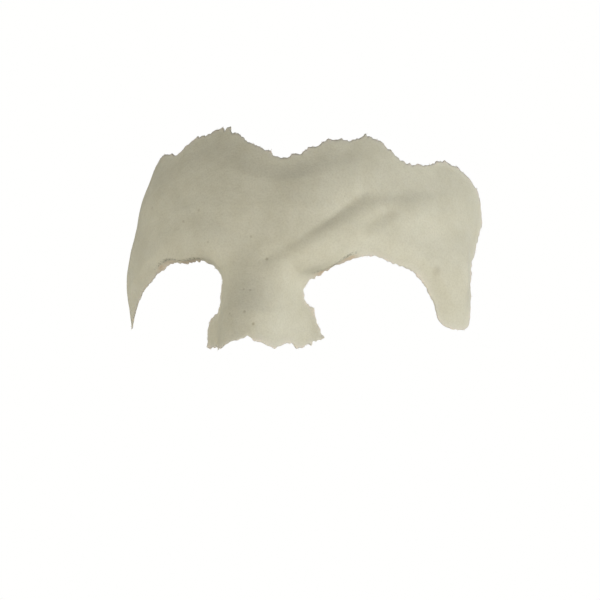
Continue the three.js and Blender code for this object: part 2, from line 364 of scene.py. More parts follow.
@dataclass(frozen=True)
class TornOutline:
    """The torn outline of the moulding, from the top middle down to the nose on both halves."""

    places: tuple[EdgePlace, ...] = (
        EdgePlace("dip above the nose", (5.5, 32.3), (-2.0, 34.7), 0.8),
        EdgePlace("inner rise", (13.4, 34.3), (-9.0, 37.9), 1.0),
        EdgePlace("inner shoulder", (23.1, 39.1), (-16.0, 41.0), 0.9),
        EdgePlace("forehead lobe", (34.1, 41.1), (-22.2, 44.1), 1.1),
        EdgePlace("lobe tip", (38.0, 43.6), (-30.0, 43.0), 0.8),
        EdgePlace("outer shoulder", (43.2, 42.0), (-37.4, 42.3), 0.8),
        EdgePlace("outer fall", (50.4, 38.2), (-44.0, 39.9), 0.8),
        EdgePlace("outer dip", (56.6, 35.6), (-49.9, 37.3), 0.7),
        EdgePlace("temple rise", (62.5, 36.3), (-56.5, 38.6), 0.8),
        EdgePlace("temple top", (73.7, 39.9), (-67.5, 40.4), 0.8),
        EdgePlace("temple shoulder", (83.4, 38.3), (-78.5, 38.4), 0.6),
        EdgePlace("rear corner", (92.0, 33.2), (-89.0, 32.6), 0.5),
        EdgePlace("rear bulge", (95.3, 23.4), (-93.5, 21.6), 0.5),
        EdgePlace("rear waist", (90.7, 11.2), (-89.6, 10.2), 0.6),
        EdgePlace("tail root", (88.3, 4.4), (-87.6, 3.6), 0.7),
        EdgePlace("tail rear", (87.5, -8.9), (-90.0, -8.0), 0.4),
        EdgePlace("tail heel", (85.3, -15.6), (-90.0, -16.0), 0.3),
        EdgePlace("tail toe", (76.1, -17.5), (-85.0, -18.6), 0.3),
        EdgePlace("tail front", (71.9, -16.2), (-79.0, -15.4), 0.4),
        EdgePlace("opening rear", (68.5, -9.9), (-69.8, -11.5), 0.5),
        EdgePlace("opening upper rear", (63.7, -3.2), (-61.3, -8.3), 0.8),
        EdgePlace("arch rear", (54.7, -0.9), (-52.3, -5.7), 0.7),
        EdgePlace("arch top", (44.0, 0.9), (-43.7, -3.1), 0.5),
        EdgePlace("arch front", (36.0, -1.3), (-35.5, -3.7), 0.8),
        EdgePlace("arch fall", (28.2, -5.8), (-27.4, -3.7), 1.0),
        EdgePlace("inner eye corner", (20.8, -9.3), (-22.3, -5.1), 0.9),
        EdgePlace("bridge side", (18.2, -12.2), (-18.7, -9.6), 0.8),
        EdgePlace("bridge narrowest", (18.3, -16.0), (-19.2, -14.1), 0.7),
        EdgePlace("bridge flare", (21.7, -19.0), (-20.6, -18.8), 0.8),
        EdgePlace("nose wing", (25.5, -24.6), (-26.2, -23.7), 0.9),
        EdgePlace("nose corner", (27.2, -27.3), (-27.2, -28.4), 0.9),
        EdgePlace("corner underside", (22.7, -29.4), (-24.9, -31.4), 0.8),
        EdgePlace("outer tooth", (17.0, -31.6), (-18.0, -32.5), 0.8),
        EdgePlace("notch", (13.1, -30.9), (-11.5, -33.6), 0.7),
        EdgePlace("inner tooth", (9.2, -33.6), (-6.6, -34.3), 0.7),
        EdgePlace("nose middle", (4.6, -32.0), (-1.5, -32.7), 0.7),
    )
    tears: tuple[Tear, ...] = (
        Tear("split tuft, outer half", -25.5, 44.6, 0.6, 1.0),
        Tear("split tuft, gap", -23.1, 43.6, -1.5, 0.8),
        Tear("split tuft, inner half", -20.6, 44.0, 0.6, 1.4),
        Tear("left shoulder tooth", -46.5, 40.4, 0.6, 0.9),
        Tear("left shoulder step", -41.4, 41.6, 0.5, 1.1),
        Tear("step by the dip", 1.2, 34.7, 1.0, 1.4),
        Tear("inner step", 15.8, 36.0, 0.6, 1.5),
        Tear("lobe step", 23.4, 40.0, 0.6, 1.5),
        Tear("lobe tooth", 31.0, 41.0, 0.5, 0.8),
        Tear("lobe tip", 38.1, 43.7, 0.5, 1.0),
        Tear("temple tooth", 73.9, 40.8, 0.5, 0.9),
        Tear("tail nick", 88.2, 7.6, -0.6, 1.2),
        Tear("tail bump", 89.2, 3.2, 0.9, 2.2),
        Tear("flare step", 22.8, -17.9, 0.6, 1.1),
        Tear("corner tooth", 27.4, -27.0, 0.6, 1.0),
        Tear("wing tooth", 22.3, -30.9, 0.9, 0.9),
        Tear("middle tooth", 16.2, -32.9, 0.8, 0.9),
        Tear("inner tooth", 9.3, -34.0, 0.5, 0.9),
        Tear("nose nick", 1.8, -31.4, -0.7, 0.9),
        Tear("nose shard", -26.4, -32.6, 1.4, 1.8),
    )
    steps: int = 14
    pitch: float = 0.3
    waves: tuple[EdgeWave, ...] = (
        EdgeWave(5.2, 0.32, 1.0),
        EdgeWave(2.5, 0.44, 2.6),
        EdgeWave(1.3, 0.42, 1.8),
        EdgeWave(0.75, 0.26, 1.0),
    )
    seed: int = 11

    def curve(self) -> tuple[Array, Array]:
        """Draws the outline without its tears.

        Returns:
            The closed outline's corners, and how ragged the edge is at each.
        """
        order = [*self.places, *reversed(self.places)]
        half = len(self.places)
        corners = np.array([p.right if i < half else p.left for i, p in enumerate(order)], float)
        torn = np.array([place.torn for place in order])
        count = len(corners)
        points, raggedness = [], []
        share = np.arange(self.steps) / self.steps
        for index in range(count):
            before, start, end, after = (corners[(index + k) % count] for k in (-1, 0, 1, 2))
            steps = ((before, start), (start, end), (end, after))
            gap_in, gap, gap_out = (math.sqrt(math.dist(*step)) for step in steps)
            leave = self._tangent(before, start, end, gap_in, gap) * gap
            arrive = self._tangent(start, end, after, gap, gap_out) * gap
            points.append(hermite(start, leave, end, arrive, share[:, None]))
            raggedness.append(torn[index] + (torn[(index + 1) % count] - torn[index]) * share)
        return np.concatenate(points), np.concatenate(raggedness)

    @staticmethod
    def _tangent(before: Array, here: Array, after: Array, gap_in: float, gap_out: float) -> Array:
        """Works out the curve's tangent at a corner, for uneven gaps on its two sides.

        Args:
            before: The corner before.
            here: The corner.
            after: The corner after.
            gap_in: The gap between the first two.
            gap_out: The gap between the last two.

        Returns:
            The tangent.
        """
        through = (after - before) / (gap_in + gap_out)
        return (here - before) / gap_in - through + (after - here) / gap_out

    def torn_edge(self) -> Array:
        """Draws the outline with its tears.

        Returns:
            The closed outline's corners, about one pitch apart.
        """
        line, torn = self.curve()
        lengths = np.linalg.norm(np.roll(line, -1, axis=0) - line, axis=1)
        marks = np.concatenate([[0.0], np.cumsum(lengths)])
        girth = marks[-1]
        count = round(girth / self.pitch)
        places = np.arange(count) * girth / count
        closed = np.vstack([line, line[:1]])
        across = np.interp(places, marks, closed[:, 0])
        upward = np.interp(places, marks, closed[:, 1])
        strength = np.interp(places, marks, np.append(torn, torn[0]))
        points = np.stack([across, upward], axis=1)
        along = np.roll(points, -1, axis=0) - np.roll(points, 1, axis=0)
        along /= np.linalg.norm(along, axis=1, keepdims=True)
        off_edge = np.stack([-along[:, 1], along[:, 0]], axis=1)
        rng = np.random.default_rng(self.seed)
        move = sum(wave.size * self._wander(rng, places, girth, wave) for wave in self.waves)
        move = move * strength
        for tear in self.tears:
            middle = places[np.argmin(np.hypot(*(points - (tear.side, tear.level)).T))]
            away = np.abs((places - middle + girth / 2) % girth - girth / 2)
            move += tear.push * np.clip(1 - away / tear.reach, 0.0, 1.0)
        return points + off_edge * move[:, None]

    @staticmethod
    def _wander(rng: np.random.Generator, places: Array, girth: float, wave: EdgeWave) -> Array:
        """Makes a closed random wave along the outline.

        Args:
            rng: The source of the wave's heights.
            places: Distances along the outline.
            girth: The outline's whole length.
            wave: The wave.

        Returns:
            The wave's height, from -1 to 1, at each place.
        """
        count = round(girth / wave.wave)
        heights = rng.uniform(-1.0, 1.0, count)
        turn = places / girth * count
        row = np.floor(turn).astype(int)
        share = np.clip((turn - row - 0.5) * wave.snap + 0.5, 0.0, 1.0)
        return heights[row % count] * (1 - share) + heights[(row + 1) % count] * share


@dataclass(frozen=True)
class Fold:
    """One fold of the outer side, running through its places.

    height is its rise, negative for a crease, half its half width and power the roundness of its
    section, 2 for round and 1 for sharp. fades are the shares of its length that it fades over at
    its start and end, and left is how strong it is on the other half, against the right.
    """

    name: str
    path: tuple[tuple[float, float], ...]
    height: float
    half: float
    fades: tuple[float, float]
    left: float
    power: float = 2.0

    def line(self, steps: int) -> Array:
        """Draws the fold's line.

        Args:
            steps: How many straight steps to draw it in.

        Returns:
            The line's corners.
        """
        places = np.array(self.path, float)
        turn = np.linspace(0.0, len(places) - 1.0, steps + 1)
        row = np.minimum(np.floor(turn).astype(int), len(places) - 2)
        t = (turn - row)[:, None]
        start, end = places[row], places[row + 1]
        before = places[np.maximum(row - 1, 0)]
        after = places[np.minimum(row + 2, len(places) - 1)]
        leave, arrive = (end - before) / 2, (after - start) / 2
        return hermite(start, leave, end, arrive, t)

    def rise(self, places: Array, steps: int) -> Array:
        """Works out the fold's height on its own half.

        Args:
            places: The places to look at.
            steps: How many straight steps the fold's line has.

        Returns:
            The height at each place.
        """
        distance, along = nearest_on_line(places, self.line(steps), closed=False)
        fade = smooth(along / self.fades[0]) * smooth((1 - along) / self.fades[1])
        return self.height * fade * np.exp(-((distance / self.half) ** self.power))


@dataclass(frozen=True)
class FoldField:
    """All folds of the outer side. Each is repeated on the other half."""

    folds: tuple[Fold, ...] = (
        Fold(
            "brow ridge",
            ((8.5, -33), (8.4, -16), (10.5, -6.4), (16.5, -0.9), (24, 3.6), (38, 11.8), (64, 19.2)),
            height=4.2, half=6, fades=(0.8, 0.6), left=0.5,
        ),
        Fold(
            "bridge crest",
            ((4.4, -34), (3.2, -27), (1.4, -22), (1.4, -15)),
            height=0.8, half=6, fades=(0.05, 0.7), left=0.1, power=1,
        ),
        Fold(
            "frown crease",
            ((1, -6), (7, -2), (13.5, 1.3), (21.5, 6.6), (35, 17.9), (49.5, 28.2)),
            height=-1.1, half=2.9, fades=(0.2, 0.15), left=0.15, power=1.6,
        ),
        Fold(
            "upper fold",
            ((5, 2), (11.5, 8), (18.5, 15), (26, 24), (34, 33)),
            height=2.9, half=11, fades=(0.55, 1), left=0.4,
        ),
        Fold(
            "midline valley",
            ((-1, 2), (-1, 12), (1, 22), (6, 31)),
            height=-0.7, half=6, fades=(0.5, 0.8), left=0.6,
        ),
        Fold(
            "second crease",
            ((38, 8.5), (44, 13.2), (50, 16.6), (58, 20.5)),
            height=-1, half=2.8, fades=(0.4, 0.5), left=0.3, power=1.8,
        ),
        Fold(
            "temple hollow",
            ((36, 24), (46, 28), (58, 29), (78, 27)),
            height=-2.5, half=7.5, fades=(0.3, 0.4), left=0.15,
        ),
        Fold(
            "brow tail",
            ((46, 12), (56, 18), (66, 21), (80, 20)),
            height=1.3, half=7, fades=(0.4, 0.4), left=0.6,
        ),
        Fold(
            "temple pad",
            ((78, 16), (80, 8), (80, 0), (78, -12)),
            height=1.2, half=9, fades=(0.4, 0.3), left=0.6,
        ),
    )
    midline_blend: float = 4.0
    narrow: float = 4.0
    steps: int = 30

    def relief(self, places: Array) -> tuple[Array, Array]:
        """Adds up all folds.

        Args:
            places: The places to look at.

        Returns:
            The rise of the foam at each place, and how much of it creases take away.
        """
        right = smooth((places[:, 0] + self.midline_blend) / (2 * self.midline_blend))
        total = np.zeros(len(places))
        creased = np.zeros(len(places))
        for fold in self.folds:
            for share, turned in ((right, places), ((1 - right) * fold.left, places * (-1, 1))):
                rise = share * fold.rise(turned, self.steps)
                total += rise
                if fold.height < 0 and fold.half < self.narrow:
                    creased -= rise
        return total, creased


@dataclass(frozen=True)
class Mark:
    """A mark in the foam's skin: its place, its reach, its depth and how strongly it is tinted."""

    side: float
    level: float
    reach: float
    depth: float
    tint: float


class Flaw(Enum):
    """The larger marks: a shallow stained dent, and pits where a bubble broke open, darkened with
    painted shade.
    """

    TEMPLE_STAIN = Mark(68.5, -0.1, 1.4, 0.12, 0.25)
    BRIDGE_PIT_LOW = Mark(2.8, -27.2, 0.44, 0.24, 0.6)
    BRIDGE_PIT_SIDE = Mark(0.0, -23.2, 0.42, 0.22, 0.5)
    BRIDGE_PIT_LEFT = Mark(-4.5, -23.6, 0.36, 0.16, 0.35)
    BRIDGE_PIT_HIGH = Mark(-1.6, -14.9, 0.38, 0.18, 0.35)
    BRIDGE_PIT_MIDDLE = Mark(0.3, -15.2, 0.38, 0.18, 0.4)
    FROWN_PIT = Mark(4.3, -4.3, 0.44, 0.22, 0.5)
    MIDLINE_PIT = Mark(-2.2, 3.3, 0.38, 0.16, 0.35)
    BROW_PIT = Mark(-19.0, 2.1, 0.38, 0.16, 0.3)
    TEMPLE_PIT = Mark(-57.3, 18.3, 0.5, 0.2, 0.35)
    FOREHEAD_PIT = Mark(-25.9, 13.2, 0.42, 0.16, 0.3)
    FOREHEAD_PIT_LOW = Mark(-33.0, 9.8, 0.44, 0.16, 0.3)


@dataclass(frozen=True)
class FoamCut:
    """The foam at one level: pad is its thickness away from the folds, feather its rim's width."""

    level: float
    pad: float
    feather: float


@dataclass(frozen=True)
class Roll:
    """The rolled rim under a brow: its middle, and how far it reaches along the edge."""

    side: float
    level: float
    reach: float


@dataclass
class FoamShell:
    """The moulding's mesh: a skin side, an outer side and the torn edge between them."""

    head: HeadForm = field(default_factory=HeadForm)
    outline: TornOutline = field(default_factory=TornOutline)
    folds: FoldField = field(default_factory=FoldField)
    pitch: float = 0.66
    lip: float = 0.35
    thinnest: float = 1.0
    foam: tuple[FoamCut, ...] = (
        FoamCut(-34, 1.3, 12),
        FoamCut(-14, 2.2, 8),
        FoamCut(0, 2.7, 6),
        FoamCut(14, 2.6, 9),
        FoamCut(28, 1.7, 13),
        FoamCut(42, 1.1, 16),
    )
    softening: float = 0.8
    even_rim: float = 3.0
    flange: float = 1.3
    roll_height: float = 1.2
    roll_width: float = 0.7
    rolls: tuple[Roll, ...] = (Roll(30.0, -2.6, 9.0), Roll(-38.0, -2.8, 14.0))
    tuck: float = 0.6
    tuck_reach: float = 6.0
    tuck_fade: float = 5.0
    lumps: tuple[tuple[float, float], ...] = ((11.0, 0.16), (4.6, 0.07), (2.3, 0.035))
    lump_rim: float = 2.0
    edge_clearance: float = 0.45

    def plan(self) -> tuple[Array, list[tuple[int, int, int]]]:
        """Fills the torn outline with triangles.

        Returns:
            The places, one (side, level) in each row, and the triangles between them.
        """
        edge = self.outline.torn_edge()
        low, high = edge.min(axis=0), edge.max(axis=0)
        row_step = self.pitch * math.sqrt(3) / 2
        rows = np.arange(low[1], high[1], row_step)
        grid = []
        for number, level in enumerate(rows):
            sides = np.arange(low[0] + self.pitch / 2 * (number % 2), high[0], self.pitch)
            grid.append(np.stack([sides, np.full(len(sides), level)], axis=1))
        inner = np.concatenate(grid)
        inner = inner[is_inside(inner, edge)]
        off_edge = nearest_on_line(inner, edge, closed=True)[0]
        inner = inner[off_edge > self.edge_clearance * self.pitch]
        corners = [Vector(place) for place in (*edge, *inner)]
        loop = [list(range(len(edge)))]
        places, _, faces, *_ = delaunay_2d_cdt(corners, [], loop, INSIDE_FACES, MERGE_DISTANCE)
        return np.array([tuple(place) for place in places]), [tuple(face) for face in faces]

    def thickness(self, places: Array) -> tuple[Array, Array, Array, Array]:
        """Works out the foam's thickness.

        Args:
            places: The places to look at.

        Returns:
            The thickness, how far each place is from the untorn outline, how far along it the
            place lies, and the creases' depth.
        """
        line, _ = self.outline.curve()
        distance, along = nearest_on_line(places, line, closed=True)
        inset = np.where(is_inside(places, line), distance, -distance)
        relief, creased = self.folds.relief(places)
        levels = [cut.level for cut in self.foam]
        pad = np.interp(places[:, 1], levels, [cut.pad for cut in self.foam])
        feather = np.interp(places[:, 1], levels, [cut.feather for cut in self.foam])
        above = pad + relief - self.thinnest
        full = self.thinnest + (above + np.hypot(above, self.softening)) / 2
        roll = self.roll(places)
        step = self.roll_height * roll * smooth((inset - self.flange * roll) / self.roll_width)
        rise = smooth(even_depth(places, line, inset, self.even_rim) / feather)
        girth = np.linalg.norm(np.roll(line, -1, axis=0) - line, axis=1).sum()
        return (self.lip + step) * (1 - rise) + full * rise, inset, along * girth, creased * rise

    def roll(self, places: Array) -> Array:
        """Works out how strongly the rim is rolled.

        Args:
            places: The places to look at.

        Returns:
            The strength at each place, from 0 to 1.
        """
        strength = np.zeros(len(places))
        for roll in self.rolls:
            away = np.hypot(places[:, 0] - roll.side, places[:, 1] - roll.level)
            strength = np.maximum(strength, np.exp(-((away / roll.reach) ** 2)))
        return strength

    def unevenness(self, points: Array) -> Array:
        """Adds up the small lumps of cast foam.

        Args:
            points: The points of the skin side.

        Returns:
            The lumps' height at each point.
        """
        total = np.zeros(len(points))
        for wave, size in self.lumps:
            total += size * np.array([noise.noise(Vector(point / wave)) for point in points])
        return total

    def build(self, name: str) -> bpy.types.Object:
        """Makes the moulding.

        Args:
            name: The new object's name.

        Returns:
            The object, with the attributes that its finish and its fringe read.
        """
        places, faces = self.plan()
        side, level = places[:, 0], places[:, 1]
        thick, inset, along_edge, creased = self.thickness(places)
        skin = self.head.skin(side, level)
        facing = self.head.outward(self.head.skin, side, level)
        thick = thick + self.unevenness(skin) * smooth(inset / self.lump_rim)
        for mark in (flaw.value for flaw in Flaw):
            away = np.hypot(side - mark.side, level - mark.level)
            thick -= mark.depth * np.exp(-((away / mark.reach) ** 2))
        rolled = self.roll(places)
        past = inset - self.flange
        tuck = self.tuck * rolled * smooth(past) * smooth((self.tuck_reach - past) / self.tuck_fade)
        outer = skin + facing * thick[:, None] - tuck[:, None] * np.array([0.0, 0.0, 1.0])

        count = len(places)
        edges = {(a, b) for face in faces for a, b in zip(face, face[1:] + face[:1])}
        rim = [(a, b) for a, b in edges if (b, a) not in edges]
        polygons = [tuple(v + count for v in face) for face in faces]
        polygons += [tuple(reversed(face)) for face in faces]
        polygons += [(b + count, a + count, a, b) for a, b in sorted(rim)]
        mesh = bpy.data.meshes.new(name)
        mesh.from_pydata(np.concatenate([skin, outer]) * MM, [], polygons)
        mesh.validate()
        mesh.shade_smooth()

        on_rim = np.zeros(count)
        off_edge = np.zeros((count, 3))
        for a, b in rim:
            along = outer[b] - outer[a]
            away = np.cross(along, facing[a])
            for corner in (a, b):
                on_rim[corner] = 1.0
                off_edge[corner] += away
        length = np.linalg.norm(off_edge, axis=1, keepdims=True)
        off_edge /= np.where(length > 0, length, 1.0)
        flat = np.zeros(count)
        stored = {
            "from_edge": (inset, inset),
            "along_edge": (along_edge, along_edge),
            # the creases' depth, which the finish reads for its painted shade
            "creased": (flat, creased),
            "skin_side": (flat + 1.0, flat),
            "on_rim": (flat, on_rim),
            "rolled": (flat, rolled),
        }
        for label, halves in stored.items():
            values = np.concatenate(halves).astype(np.float32)
            mesh.attributes.new(label, "FLOAT", "POINT").data.foreach_set("value", values)
        directions = mesh.attributes.new("off_edge", "FLOAT_VECTOR", "POINT")
        directions.data.foreach_set("vector", np.concatenate([off_edge, off_edge]).ravel())
        return add_object(name, mesh)


class Wire:
    """One output of a node. Arithmetic on it adds Math nodes to its tree."""

    def __init__(self, bench: NodeBench, made: bpy.types.Node, output: str | int) -> None:
        """Keeps the node, the name or number of its output and the bench that made it."""
        self.bench = bench
        self.made = made
        self.output = output

    @property
    def socket(self) -> bpy.types.NodeSocket:
        """Returns the output's own socket."""
        return self.bench.find(self.made.outputs, self.output)

    def _math(self, other: Wire | float, operation: str, turned: bool = False) -> Wire:
        """Returns a Math node's result on this value and another, in that order unless turned."""
        pair = (other, self) if turned else (self, other)
        return self.bench.node("ShaderNodeMath", dict(enumerate(pair)), operation=operation)

    __add__ = partialmethod(_math, operation="ADD")
    __radd__ = partialmethod(_math, operation="ADD", turned=True)
    __sub__ = partialmethod(_math, operation="SUBTRACT")
    __rsub__ = partialmethod(_math, operation="SUBTRACT", turned=True)
    __mul__ = partialmethod(_math, operation="MULTIPLY")
    __rmul__ = partialmethod(_math, operation="MULTIPLY", turned=True)
    __truediv__ = partialmethod(_math, operation="DIVIDE")


@dataclass(frozen=True)
class Span:
    """The range of a value over which something comes in, or goes if low is above high."""

    low: float
    high: float


@dataclass(frozen=True)
class Grain:
    """A noise pattern: its mean wave in millimetres, and how much finer detail it has."""

    wave: float
    detail: float = 2.0


class NodeBench:
    """Adds and joins the nodes of one tree."""

    def __init__(self, tree: bpy.types.NodeTree) -> None:
        """Keeps the tree to work on."""
        self.tree = tree

    def node(
        self,
        kind: str,
        values: dict[str | int, object] | None = None,
        output: str | int = 0,
        **settings: object,
    ) -> Wire:
        """Adds a node.

        Args:
            kind: The node's type.
            values: A value or a Wire for each socket, by name, identifier or number.
            output: The socket to return, by name, identifier or number.
            **settings: The node's own settings, which are set first.

        Returns:
            The chosen output.
        """
        made = self.tree.nodes.new(kind)
        for name, setting in settings.items():
            setattr(made, name, setting)
        for key, value in (values or {}).items():
            socket = self.find(made.inputs, key)
            if isinstance(value, Wire):
                self.tree.links.new(value.socket, socket)
            else:
                socket.default_value = value
        return Wire(self, made, output)

    @staticmethod
    def find(sockets: bpy.types.bpy_prop_collection, key: str | int) -> bpy.types.NodeSocket:
        """Returns the socket with a number, an identifier or a name."""
        if isinstance(key, int):
            return sockets[key]
        return next((s for s in sockets if s.identifier == key), None) or sockets[key]

    def mix(self, share: Wire | float, first: Wire | Colour, second: Wire | Colour) -> Wire:
        """Returns the mix of two colours, 0 for the first and 1 for the second."""
        colours = [c if isinstance(c, Wire) else (*c, 1.0) for c in (first, second)]
        values = {"Factor_Float": share, "A_Color": colours[0], "B_Color": colours[1]}
        return self.node("ShaderNodeMix", values, "Result_Color", data_type="RGBA")

    def span(self, value: Wire, limits: Span) -> Wire:
        """Returns the soft step of a value between two limits, from 0 to 1."""
        values = {"Value": value, "From Min": limits.low, "From Max": limits.high}
        return self.node("ShaderNodeMapRange", values, interpolation_type="SMOOTHSTEP", clamp=True)

    def vector(self, operation: str, first: Wire, second: object) -> Wire:
        """Returns the result of a Vector Math node, which is a number for a distance."""
        values = {0: first, "Scale" if operation == "SCALE" else 1: second}
        output = "Value" if operation == "DISTANCE" else 0
        return self.node("ShaderNodeVectorMath", values, output, operation=operation)

    def attribute(self, name: str) -> Wire:
        """Returns a number stored on the mesh."""
        return self.node("ShaderNodeAttribute", output="Fac", attribute_name=name)

    def grain(self, places: Wire, grain: Grain) -> Wire:
        """Returns noise from 0 to 1, with the places in the grain's own unit."""
        values = {"Vector": places, "Scale": 1.0 / grain.wave, "Detail": grain.detail}
        return self.node("ShaderNodeTexNoise", values)


@dataclass(frozen=True)
class TornFringe:
    """Fine shreds of foam that stand off the torn edge."""

    share: float = 0.16
    length: float = 0.75
    width: float = 0.13
    flatness: float = 0.5
    sides: int = 5
    spread: float = 0.75
    slimmest: float = 0.5
    shortest: float = 0.35
    seed: int = 5

    def tree(self, sizes: dict[str, object]) -> bpy.types.NodeTree:
        """Builds the node tree that sets the shreds along the rim.

        Args:
            sizes: What each named input will be set to.

        Returns:
            The tree.
        """
        tree = bpy.data.node_groups.new("torn_fringe", "GeometryNodeTree")
        face = tree.interface
        face.new_socket("Geometry", in_out="OUTPUT", socket_type="NodeSocketGeometry")
        face.new_socket("Geometry", in_out="INPUT", socket_type="NodeSocketGeometry")
        kinds = {float: "NodeSocketFloat", int: "NodeSocketInt"}
        for name, size in sizes.items():
            kind = kinds.get(type(size), "NodeSocketMaterial")
            face.new_socket(name, in_out="INPUT", socket_type=kind)
        bench = NodeBench(tree)
        start = tree.nodes.new("NodeGroupInput")
        given = {s.name: Wire(bench, start, s.identifier) for s in start.outputs if s.name}
        rim = self._stored(bench, "on_rim", "FLOAT")
        off_edge = self._stored(bench, "off_edge", "FLOAT_VECTOR")
        chance = {"Probability": given["Share"], "Seed": given["Seed"]}
        picked = bench.node("FunctionNodeRandomValue", chance, "Value_003", data_type="BOOLEAN")
        chosen = bench.node("FunctionNodeBooleanMath", {0: rim, 1: picked}, operation="AND")
        where = {"Mesh": given["Geometry"], "Selection": chosen}
        points = bench.node("GeometryNodeMeshToPoints", where)
        cone = {
            "Vertices": given["Sides"],
            "Radius Bottom": given["Width"],
            "Radius Top": 0.0,
            "Depth": given["Length"],
        }
        shred = bench.node("GeometryNodeMeshCone", cone, "Mesh", fill_type="NGON")
        wander = self._random(bench, given["Seed"], (-1.0, -1.0, -1.0), (1.0, 1.0, 1.0))
        heading = bench.vector("ADD", off_edge, bench.vector("SCALE", wander, given["Spread"]))
        turn = bench.node("FunctionNodeAlignRotationToVector", {"Vector": heading}, axis="Z")
        slim, flat = given["Slimmest"], given["Flatness"]
        low = bench.node("ShaderNodeCombineXYZ", {0: slim, 1: flat * slim, 2: given["Shortest"]})
        high = bench.node("ShaderNodeCombineXYZ", {0: 1.0, 1: flat, 2: 1.0})
        size = self._random(bench, given["Seed"] + 1.0, low, high)
        set_out = {"Points": points, "Instance": shred, "Rotation": turn, "Scale": size}
        placed = bench.node("GeometryNodeInstanceOnPoints", set_out)
        loose = bench.node("GeometryNodeRealizeInstances", {"Geometry": placed})
        joined = tree.nodes.new("GeometryNodeJoinGeometry")
        for part in (loose, given["Geometry"]):
            tree.links.new(part.socket, joined.inputs[0])
        whole = {"Geometry": Wire(bench, joined, 0), "Material": given["Material"]}
        dressed = bench.node("GeometryNodeSetMaterial", whole)
        end = tree.nodes.new("NodeGroupOutput")
        tree.links.new(dressed.socket, end.inputs[0])
        return tree

    @staticmethod
    def _stored(bench: NodeBench, name: str, kind: str) -> Wire:
        """Returns a value stored on the mesh's points."""
        return bench.node("GeometryNodeInputNamedAttribute", {"Name": name}, data_type=kind)

    @staticmethod
    def _random(bench: NodeBench, seed: Wire, low: object, high: object) -> Wire:
        """Returns a random vector between two."""
        values = {0: low, 1: high, "Seed": seed}
        return bench.node("FunctionNodeRandomValue", values, data_type="FLOAT_VECTOR")

    def grow(self, shell: bpy.types.Object, finish: bpy.types.Material) -> None:
        """Adds the shreds to the moulding's own mesh.

        Args:
            shell: The moulding.
            finish: The material of the whole.
        """
        sizes = {
            "Share": self.share,
            "Length": self.length * MM,
            "Width": self.width * MM,
            "Flatness": self.flatness,
            "Spread": self.spread,
            "Slimmest": self.slimmest,
            "Shortest": self.shortest,
            "Sides": self.sides,
            "Seed": self.seed,
            "Material": finish,
        }
        tree = self.tree(sizes)
        maker = shell.modifiers.new("torn_fringe", "NODES")
        maker.node_group = tree
        for socket in tree.interface.items_tree:
            if socket.in_out == "INPUT" and socket.name in sizes:
                maker[socket.identifier] = sizes[socket.name]
        bpy.context.view_layer.update()
        evaluated = shell.evaluated_get(bpy.context.evaluated_depsgraph_get())
        whole = bpy.data.meshes.new_from_object(evaluated)
        whole.name = shell.name
        shell.modifiers.remove(maker)
        shell.data = whole


@dataclass(frozen=True)
class Tint:
    """A colour laid over the foam: how strongly, and how much more where a pattern is strong."""

    colour: Colour
    share: float
    more: float = 0.0

    def over(self, below: Wire, mask: Wire, pattern: Wire | None = None) -> Wire:
        """Lays the colour over another.

        Args:
            below: The colour below.
            mask: Where the colour lies, from 0 to 1.
            pattern: The pattern that strengthens it, if any.

        Returns:
            The mixed colour.
        """
        share = self.share if pattern is None else self.share + pattern * self.more
        return below.bench.mix(mask * share, below, self.colour)


